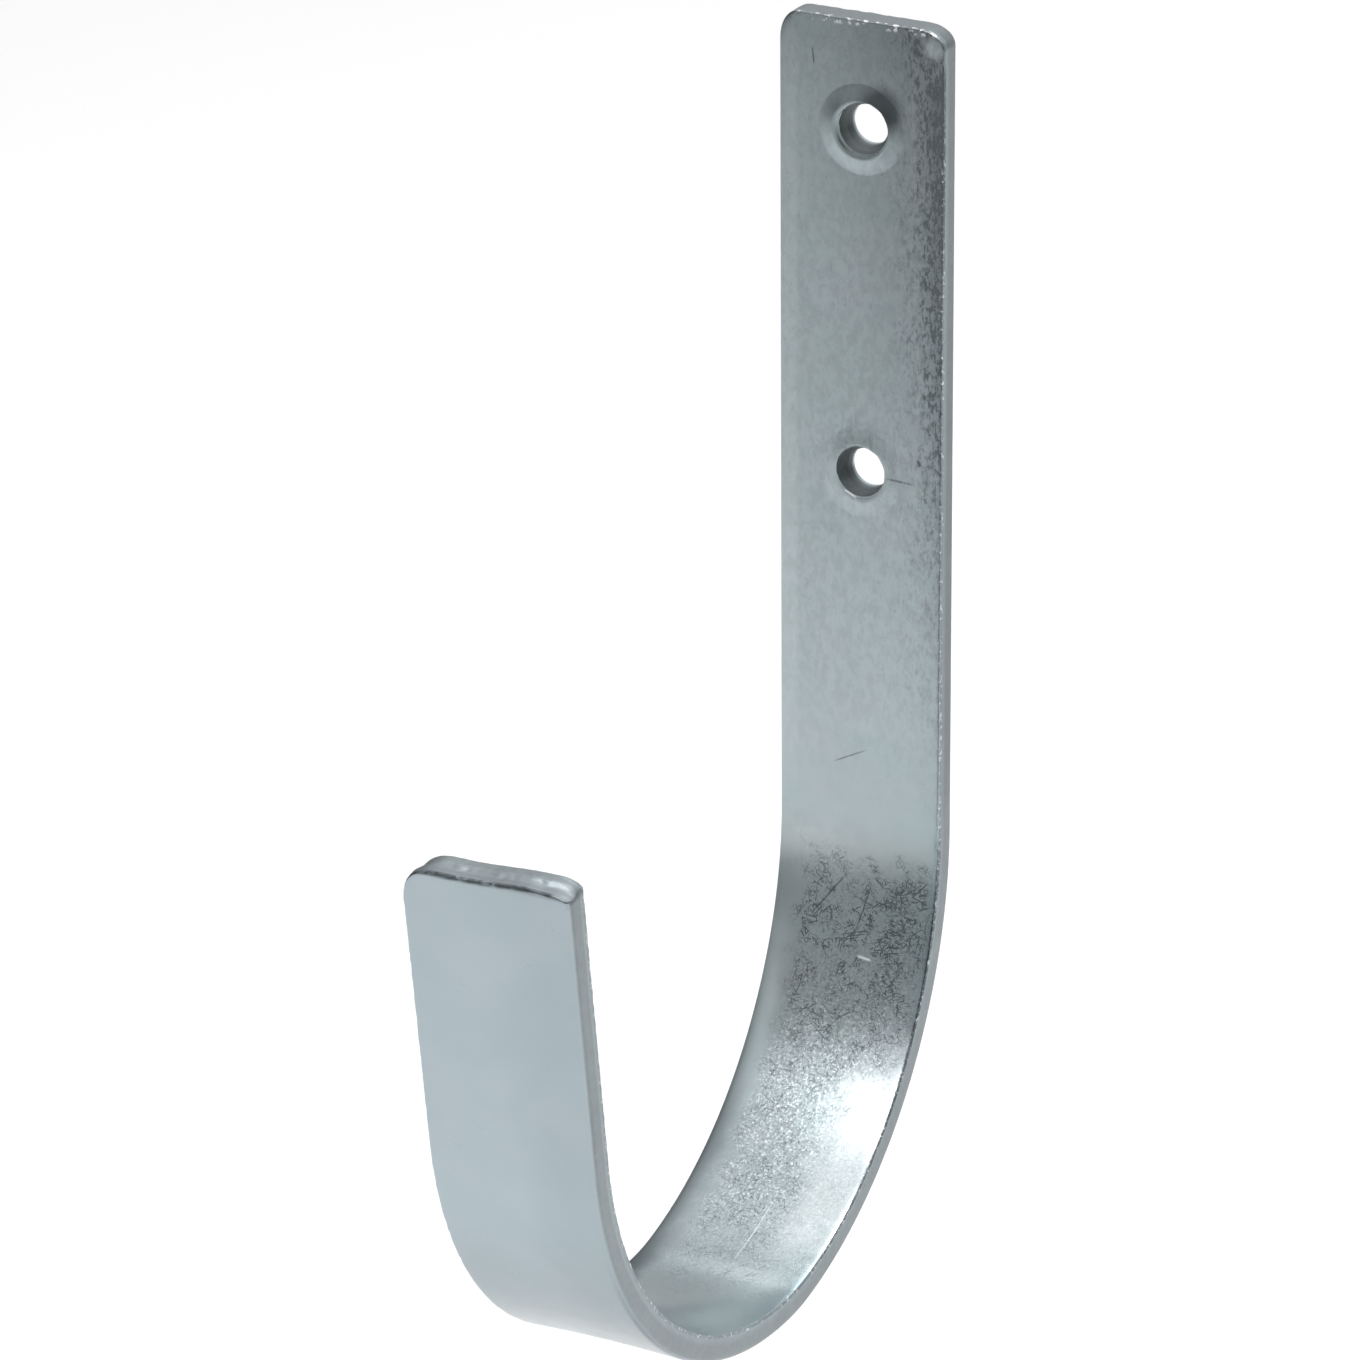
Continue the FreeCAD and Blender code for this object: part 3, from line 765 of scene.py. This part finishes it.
def find_marks(bench, at):
    """Scratches, single marks, and along the edge of the inner face a dark line of painted burr shadow
    and painted glints.
    """
    layers = [scattered_scratches(bench, at.place, *layer) for layer in SCRATCH_LAYERS]
    at.scratches = bench.product(bench.highest(*layers), bench.highest(at.scratched, 0.02))
    at.dark_marks = bench.product(all_marks(bench, at, DARK_MARKS), at.inner)
    at.bright_marks = bench.product(
        all_marks(bench, at, BRIGHT_MARKS), at.front, bench.ramp(at.along, 142.0, 150.0, 1.0, 0.4))
    # painted glints along the top edge
    at.top_specks = bench.product(
        bench.band(at.along, -0.3, 0.8, 0.3), at.front,
        bench.ramp(bench.noise(at.place, 1.1, 2.0, 0.6), 0.52, 0.6))
    # painted glints along the burr
    bit_place = bench.vector("ADD", at.place, (5.0, 0.0, 60.0))
    at.burr_bits = bench.product(
        bench.ramp(at.across, 12.0, 12.3), at.front, bench.ramp(at.along, 9.0, 20.0),
        bench.ramp(bench.noise(bit_place, 1.5, 3.0, 0.7), 0.56, 0.62))
    beside_top = (bench.ramp(at.along, 4.0, 7.0), bench.fall(at.along, 22.0, 45.0))
    beside_bend = (bench.ramp(at.along, 112.0, 124.0), bench.ramp(at.along, 155.0, 185.0, 1.0, 0.35))
    # painted shadow along the chipped burr of the right edge
    at.burr_line = bench.product(
        bench.ramp(at.across, 12.0, 12.25), at.front, at.chips, bench.total(beside_top, beside_bend))


def find_sheared(bench, at):
    """The ends and the sheared sides, and the outer face beside them, with painted shade on the tip's
    rolled edge and under the lower bend.
    """
    from_end = bench.math("MINIMUM", at.along, at.from_tip)
    at.on_end = bench.product(at.sheared, bench.fall(from_end, 0.9, 1.6))
    off_break = bench.math("ABSOLUTE", bench.minus(at.across, ROLL_BREAK[0] / MM))
    gaps = bench.ramp(bench.noise(at.place, 0.6, 2.0, 0.6), 0.36, 0.46)
    # painted dark reflection along the rolled outer edge of the tip, broken near the roll's break and in
    # gaps
    at.rolled_line = bench.product(
        bench.band(at.through, -0.5, -0.06, 0.05), bench.fall(at.from_tip, 1.4, 2.2),
        bench.ramp(off_break, 0.2, 0.9), bench.ramp(at.across, 9.4, 10.2, 1.0, 0.2),
        bench.ramp(gaps, 0.0, 1.0, 0.45, 1.0))
    from_burr = bench.product(at.across, at.through, -MM / HALF_WIDTH)
    at.near_burr = bench.band(from_burr, 2.7, 3.95, 0.25)
    at.plate_side = bench.product(at.sheared, bench.fall(at.along, 95.0, 135.0))
    at.outer_right = bench.product(
        at.flat, at.back, bench.ramp(at.across, -2.0, 9.0), bench.ramp(at.along, 150.0, 220.0))
    # painted shade on the outer face under the lower bend
    at.outer_bottom = bench.product(at.back, bench.band(at.along, 195.0, 252.0, 16.0))


def find_holes(bench, at):
    """The walls of the two punched holes, and the lower part of them."""
    walls, low_parts = [], []
    for height in HOLE_HEIGHTS:
        below = bench.minus(at.along, (PLATE_TOP - height) / MM)
        walls.append(bench.fall(bench.distance(at.across, below), 3.7, 4.0))
        low_parts.append(bench.product(walls[-1], bench.ramp(below, 0.4, 3.2)))
    at.in_hole = bench.product(bench.highest(*walls), bench.ramp(at.sheared, 0.2, 0.5))
    at.low_in_hole = bench.highest(*low_parts)


def glow_share(bench, at):
    """How far polish, painted highlights and painted glints brighten the plating at each point."""
    shares = bench.total(
        (at.polish, bench.ramp(at.across, -6.0, 9.0, 0.42, 0.16)),
        # painted glints sparkling in the lit part of the bend
        (bench.ramp(at.bright_speckle, 0.5, 0.64), at.bend_wear,
            bench.ramp(at.along, 130.0, 156.0), bench.ramp(at.along, 172.0, 190.0, 0.8, 0.4)),
        # painted highlight on the right of the bend
        (at.shiny, 0.4),
        # painted highlight on the top right corner of the plate
        (at.bright_corner, bench.ramp(at.smudge, 0.35, 0.65), 0.4),
        (at.left_edge, 0.12),
        # painted highlight on the left margin of the bend
        (at.left_margin, bench.band(at.along, 138.0, 150.0, 6.0), 0.2),
        # painted highlight on the right of the lowest part of the bend
        (at.low_bend, bench.ramp(at.across, 3.0, 9.0), 0.2),
    )
    return bench.math("MINIMUM", shares, 1.0)


def worn_share(bench, at, scratch_darkness):
    """How far wear, stains, scratches and painted shade darken the plating at each point."""
    shares = bench.total(
        (at.scratches, scratch_darkness),
        (bench.ramp(at.flecks, 0.44, 0.62), at.right_wear, 0.75),
        (bench.ramp(at.flecks, 0.57, 0.66), at.on_plate, 0.12),
        (bench.ramp(at.speckle, 0.5, 0.62), at.bend_wear, bench.ramp(at.along, 128.0, 150.0, 0.25, 0.43)),
        (bench.ramp(at.speckle, 0.44, 0.6), at.clump, 0.4),
        # painted shade on the left margin of the bend
        (at.left_margin, bench.ramp(at.along, 150.0, 170.0, 0.0, 0.75)),
        (at.left_margin, bench.band(at.along, 124.0, 134.0, 4.0), 0.3),
        # painted shade on the left of the lowest part of the bend
        (at.low_bend, bench.fall(at.across, -3.0, 7.0), 0.36),
        # painted shade on the plate
        (at.right_shade, 0.32),
        (at.right_edge, 0.35),
        (at.top_shade, 0.18),
        (at.high_shade, 0.07),
        # painted shade on the upper right of the upper hole's bulge
        (at.stain, 0.6),
        (at.faint_stain, bench.ramp(at.smudge, 0.4, 0.6, 0.2, 1.0), 0.25),
        (at.dark_marks, bench.ramp(at.flecks, 0.35, 0.55, 0.35, 1.0), 0.7),
        (at.rolled_line, 0.8),
        (at.outer_bottom, 0.38),
        (at.on_end, 0.2),
        (at.burr_line, 0.7),
        (at.outer_right, 0.08),
    )
    shares = bench.math("MINIMUM", shares, MOST_WORN)
    # less darkening under the painted corner highlight
    return bench.product(shares, bench.ramp(at.bright_corner, 0.0, 1.0, 1.0, 0.3))


def clean_plating(bench, at, finish):
    """The colour of the plating before wear: three zincs in clouds, smudged on the plate."""
    tint = bench.ramp(at.tint, 0.4, 0.6)
    zinc = bench.mix_colour(tint, rgba(finish.bright_zinc), rgba(finish.lilac_zinc))
    colour = bench.mix_colour(bench.ramp(at.cloud, 0.3, 0.62), rgba(finish.dull_zinc), zinc)
    colour = bench.mix_colour(at.inner, colour, rgba(finish.green_cast), "MULTIPLY")
    smudged = bench.product(bench.ramp(at.smudge, 0.38, 0.62), at.on_plate, 0.34)
    return bench.mix_colour(smudged, colour, rgba(SMUDGE_COLOUR))


def sheared_plating(bench, at, finish):
    """The colour of the plating over sheared metal: lighter along the burr, darker on the plate."""
    cloudy = bench.product(bench.noise(at.place, 0.8, 3.0, 0.6), 0.5)
    colour = bench.mix_colour(cloudy, rgba(finish.sheared_steel), rgba(finish.dull_zinc))
    light = bench.product(at.near_burr, bench.ramp(at.along, 50.0, 105.0, 0.6, 0.4))
    colour = bench.mix_colour(light, colour, rgba(finish.bright_zinc))
    dark = bench.product(
        at.plate_side, bench.ramp(at.along, 20.0, 90.0, 0.2, 0.4),
        bench.ramp(at.near_burr, 0.0, 1.0, 1.0, 0.5))
    return bench.mix_colour(dark, colour, rgba(PLATE_SIDE_COLOUR))


def plating_colour(bench, at, finish):
    """The whole colour of the hook's surface."""
    colour = clean_plating(bench, at, finish)
    colour = bench.mix_colour(glow_share(bench, at), colour, rgba(POLISH_COLOUR))
    colour = bench.mix_colour(at.sheared, colour, sheared_plating(bench, at, finish))
    worn = worn_share(bench, at, finish.scratch_darkness)
    colour = bench.mix_colour(worn, colour, rgba(finish.scratch_colour))
    # painted shade on the walls of the holes, less on the lower part of the wall
    hole_share = bench.product(at.in_hole, bench.ramp(at.low_in_hole, 0.0, 1.0, 0.92, 0.68))
    colour = bench.mix_colour(hole_share, colour, rgba(finish.hole_colour))
    # painted glints on marks and edges
    bits = bench.total(at.top_specks, at.bright_marks, (at.burr_bits, 0.8))
    bits_share = bench.product(bench.math("MINIMUM", bits, 1.0), 0.8)
    return bench.mix_colour(bits_share, colour, rgba(SPECK_COLOUR))


def plating_roughness(bench, at, mean):
    """The roughness of the surface: cloudy, duller at the left of the bend and over the shear."""
    return bench.total(
        mean,
        (bench.minus(at.blotch, 0.5), 0.12),
        (bench.minus(at.cloud, 0.5), 0.12),
        (bench.minus(at.smudge, 0.5), at.on_plate, 0.2),
        (at.scratches, 0.15),
        (at.bend_wear, 0.03),
        (at.bright_marks, 0.3),
        (at.left_margin, 0.3),
        (at.lower_plate, -0.05),
        (at.sheared, 0.2),
        (at.on_end, 0.18),
        (at.in_hole, 0.15),
    )


def plating_relief(bench, at):
    """The fine unevenness of the surface, as a bumped normal."""
    relief = bench.total(
        (at.grain, 0.2),
        (at.dents, bench.total(0.08, (at.bend_wear, 0.9))),
        (at.speckle, bench.total(0.03, (at.bend_wear, 2.0), (at.right_wear, 0.6))),
        (at.torn, at.sheared, bench.ramp(at.on_end, 0.0, 1.0, 0.9, 0.3)),
    )
    bump = bench.node("ShaderNodeBump")
    bench.feed(bump.inputs["Height"], relief)
    bench.feed(bump.inputs["Strength"], BUMP_STRENGTH)
    bench.feed(bump.inputs["Distance"], BUMP_DISTANCE)
    return bump.outputs["Normal"]


def zinc_plated_steel(finish):
    """Zinc plating over rolled steel: cloudy, scratched in the bend and dull along the shear, with
    painted highlights, glints and shade.
    """
    material = bpy.data.materials.new("zinc_plated_steel")
    bench = NodeBench(material)
    at = StripPoint(bench)
    for find in (find_patterns, find_plate_wear, find_bend_wear, find_marks, find_sheared, find_holes):
        find(bench, at)
    shader = bench.node("ShaderNodeBsdfPrincipled")
    bench.feed(shader.inputs["Base Color"], plating_colour(bench, at, finish))
    bench.feed(shader.inputs["Metallic"], bench.ramp(at.in_hole, 0.0, 1.0, 1.0, HOLE_METALLIC))
    bench.feed(shader.inputs["Roughness"], plating_roughness(bench, at, finish.roughness))
    bench.feed(shader.inputs["Normal"], plating_relief(bench, at))
    bench.surface(shader)
    return material


def floor_paint(colour):
    """An even pale paint for the floor of the stage."""
    material = bpy.data.materials.new("pale_floor")
    bench = NodeBench(material)
    shader = bench.node("ShaderNodeBsdfPrincipled")
    bench.feed(shader.inputs["Base Color"], rgba(colour))
    bench.feed(shader.inputs["Roughness"], FLOOR_ROUGHNESS)
    bench.feed(shader.inputs["Specular IOR Level"], FLOOR_SPECULAR)
    bench.surface(shader)
    return material


def soft_light(name, place, target, size, power):
    """A square soft light that faces a point."""
    lamp = bpy.data.lights.new(name, "AREA")
    lamp.shape = "SQUARE"
    lamp.size = size
    lamp.energy = power
    holder = link_object(name, lamp)
    holder.location = place
    holder.rotation_euler = (Vector(target) - Vector(place)).to_track_quat("-Z", "Y").to_euler()


class HookShape(bpy.types.PropertyGroup):
    """Small forms of the metal that a user may change."""

    edge_roll: bpy.props.FloatProperty(
        name="Edge roll", description="Radius of the rolled outer edge on the right",
        default=1.0 * MM, unit="LENGTH")
    end_roll: bpy.props.FloatProperty(
        name="End roll", description="How deep the outer edge of each end is rolled over",
        default=0.45 * MM, unit="LENGTH")
    tip_step: bpy.props.FloatProperty(
        name="Tip step", description="How much lower the outer half of the tip's end lies",
        default=0.45 * MM, unit="LENGTH")
    tip_slant: bpy.props.FloatProperty(
        name="Tip slant", description="How much further the tip's end reaches on the right",
        default=0.6 * MM, unit="LENGTH")
    ring_spacing: bpy.props.FloatProperty(
        name="Ring spacing", description="Distance between rings of points along the strip",
        default=0.8 * MM, unit="LENGTH")
    tear_depth: bpy.props.FloatProperty(
        name="Tear depth", description="How far the torn band of each side lies back",
        default=0.08 * MM, unit="LENGTH")
    burr_chips: bpy.props.FloatProperty(
        name="Burr chips", description="Depth of the chips along the sharp edges",
        default=0.1 * MM, unit="LENGTH")
    crosswise_curl: bpy.props.FloatProperty(
        name="Crosswise curl", description="How far the middle of the bend rises above its edges",
        default=0.3 * MM, unit="LENGTH")


class HookFinish(bpy.types.PropertyGroup):
    """Colours and shine of the zinc plating."""

    bright_zinc: bpy.props.FloatVectorProperty(
        name="Bright zinc", description="Clear zinc plating", default=(0.385, 0.456, 0.488),
        subtype="COLOR", size=3, min=0, max=1)
    lilac_zinc: bpy.props.FloatVectorProperty(
        name="Lilac zinc", description="Clear zinc plating with a warmer cast",
        default=(0.4, 0.456, 0.494), subtype="COLOR", size=3, min=0, max=1)
    dull_zinc: bpy.props.FloatVectorProperty(
        name="Dull zinc", description="Cloudy zinc plating", default=(0.37, 0.436, 0.464),
        subtype="COLOR", size=3, min=0, max=1)
    sheared_steel: bpy.props.FloatVectorProperty(
        name="Sheared steel", description="Plating over the sheared sides and ends",
        default=(0.24, 0.26, 0.27), subtype="COLOR", size=3, min=0, max=1)
    # Dark colour of the painted shade in the holes.
    hole_colour: bpy.props.FloatVectorProperty(
        name="Hole colour", description="Dark plating on the walls of the holes",
        default=(0.075, 0.098, 0.1), subtype="COLOR", size=3, min=0, max=1)
    # Dark metal in scratches and stains, and also the colour of the painted shade.
    scratch_colour: bpy.props.FloatVectorProperty(
        name="Scratch colour", description="Dark metal in scratches and stains",
        default=(0.1, 0.115, 0.125), subtype="COLOR", size=3, min=0, max=1)
    green_cast: bpy.props.FloatVectorProperty(
        name="Green cast", description="Tint of the plating on the inner face",
        default=(1.08, 1.075, 1.045), subtype="COLOR", size=3, min=0, max=2)
    scratch_darkness: bpy.props.FloatProperty(
        name="Scratch darkness", description="How dark the scratches are", default=0.95,
        subtype="FACTOR", min=0, max=1)
    roughness: bpy.props.FloatProperty(
        name="Roughness", description="Mean roughness of the plating", default=0.24,
        subtype="FACTOR", min=0, max=1)


class HookStage(bpy.types.PropertyGroup):
    """Floor, lights and camera."""

    floor_height: bpy.props.FloatProperty(
        name="Floor height", description="Height of the floor, measured from between the holes",
        default=-0.3, unit="LENGTH")
    floor_colour: bpy.props.FloatVectorProperty(
        name="Floor colour", description="Pale floor", default=(0.9, 0.9, 0.9),
        subtype="COLOR", size=3, min=0, max=1)
    pool_power: bpy.props.FloatProperty(
        name="Pool power", description="Power of the light that whitens the floor behind the hook",
        default=370.0, unit="POWER")
    overhead_power: bpy.props.FloatProperty(
        name="Overhead power", description="Power of the wide soft light above", default=22.0,
        unit="POWER")
    front_power: bpy.props.FloatProperty(
        name="Front power", description="Power of the dim soft light low in front", default=4.6,
        unit="POWER")
    back_power: bpy.props.FloatProperty(
        name="Back power", description="Power of the tall soft light behind", default=55.0,
        unit="POWER")
    key_power: bpy.props.FloatProperty(
        name="Key power", description="Power of the small soft light that shines in the bend",
        default=2.3, unit="POWER")
    room_light: bpy.props.FloatProperty(
        name="Room light", description="Brightness of the room all round", default=0.12, min=0)


class HOOK_OT_metal(bpy.types.Operator):
    """Shears, punches and bends the strip, and gives it its zinc plating"""

    bl_idname = "hook.metal"
    bl_label = "Make the hook"

    def execute(self, context):
        shape = context.scene.hook_shape
        hook = flat_strip(shape)
        punch_holes(hook)
        hook.name = "bent_hook"
        hook.data.name = "bent_hook"
        note_strip_places(hook.data)
        bend_strip(hook.data, shape)
        hook.data.shade_smooth()
        hook.data.set_sharp_from_angle(angle=SHARPEST_SMOOTH_EDGE)
        hook.data.materials.clear()
        hook.data.materials.append(zinc_plated_steel(context.scene.hook_finish))
        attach(hook, "root")
        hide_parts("hook")
        return {"FINISHED"}


class HOOK_OT_stage(bpy.types.Operator):
    """Lays the floor and sets the lights and the camera"""

    bl_idname = "hook.stage"
    bl_label = "Set the stage"

    def execute(self, context):
        stage = context.scene.hook_stage
        self.lay_floor(stage)
        self.set_lights(context.scene, stage)
        self.set_camera(context.scene)
        return {"FINISHED"}

    def lay_floor(self, stage):
        """A flat floor below the hook."""
        bm = bmesh.new()
        bmesh.ops.create_grid(bm, x_segments=1, y_segments=1, size=FLOOR_SIZE)
        bmesh.ops.translate(bm, vec=(0, 0, stage.floor_height), verts=bm.verts)
        floor = mesh_object("floor", bm)
        floor.data.materials.append(floor_paint(stage.floor_colour))

    def set_lights(self, scene, stage):
        """A spot that whitens the floor behind the hook, four soft lights and the room."""
        pool = bpy.data.lights.new("pool", "SPOT")
        pool.energy = stage.pool_power
        pool.spot_size = math.radians(POOL_CONE)
        pool.spot_blend = POOL_BLEND
        pool.shadow_soft_size = POOL_RADIUS
        link_object("pool", pool).location = POOL_PLACE
        powers = (stage.overhead_power, stage.front_power, stage.back_power, stage.key_power)
        for light, power in zip(SOFT_LIGHTS, powers):
            soft_light(*light, power)
        world = bpy.data.worlds.new("room")
        world.use_nodes = True
        backdrop = world.node_tree.nodes["Background"]
        backdrop.inputs["Color"].default_value = (1, 1, 1, 1)
        backdrop.inputs["Strength"].default_value = stage.room_light
        scene.world = world
        scene.view_settings.view_transform = "Standard"

    def set_camera(self, scene):
        """A long lens at the photograph's angle."""
        data = bpy.data.cameras.new("camera")
        data.sensor_width = CAMERA_SENSOR
        data.lens = CAMERA_LENS
        data.clip_start, data.clip_end = CAMERA_CLIP
        turn = Matrix.Rotation(math.radians(CAMERA_AZIMUTH), 4, "Z")
        turn @= Matrix.Rotation(math.radians(90 - CAMERA_ELEVATION), 4, "X")
        turn @= Matrix.Rotation(math.radians(CAMERA_ROLL), 4, "Z")
        camera = link_object("camera", data)
        camera.matrix_world = Matrix.Translation(CAMERA_PLACE) @ turn
        scene.camera = camera


class HOOK_PT_panel(bpy.types.Panel):
    """The hook's settings in the 3D view's sidebar"""

    bl_idname = "HOOK_PT_panel"
    bl_label = "Garage utility hook"
    bl_space_type = "VIEW_3D"
    bl_region_type = "UI"
    bl_category = "Hook"

    def draw(self, context):
        groups = (
            (context.scene.hook_shape, None),
            (context.scene.hook_finish, HOOK_OT_metal.bl_idname),
            (context.scene.hook_stage, HOOK_OT_stage.bl_idname),
        )
        for group, operator in groups:
            box = self.layout.box()
            for name in type(group).__annotations__:
                box.prop(group, name)
            if operator:
                box.operator(operator)


CLASSES = (HookShape, HookFinish, HookStage, HOOK_OT_metal, HOOK_OT_stage, HOOK_PT_panel)


def register():
    """Adds the classes, and the settings that the scene keeps."""
    for item in CLASSES:
        bpy.utils.register_class(item)
    bpy.types.Scene.hook_shape = bpy.props.PointerProperty(type=HookShape)
    bpy.types.Scene.hook_finish = bpy.props.PointerProperty(type=HookFinish)
    bpy.types.Scene.hook_stage = bpy.props.PointerProperty(type=HookStage)


def unregister():
    """Takes out what register added."""
    del bpy.types.Scene.hook_stage
    del bpy.types.Scene.hook_finish
    del bpy.types.Scene.hook_shape
    for item in reversed(CLASSES):
        bpy.utils.unregister_class(item)


def main():
    """Makes the hook and its stage."""
    register()
    bpy.ops.hook.metal()
    bpy.ops.hook.stage()


if __name__ == "__main__":
    main()
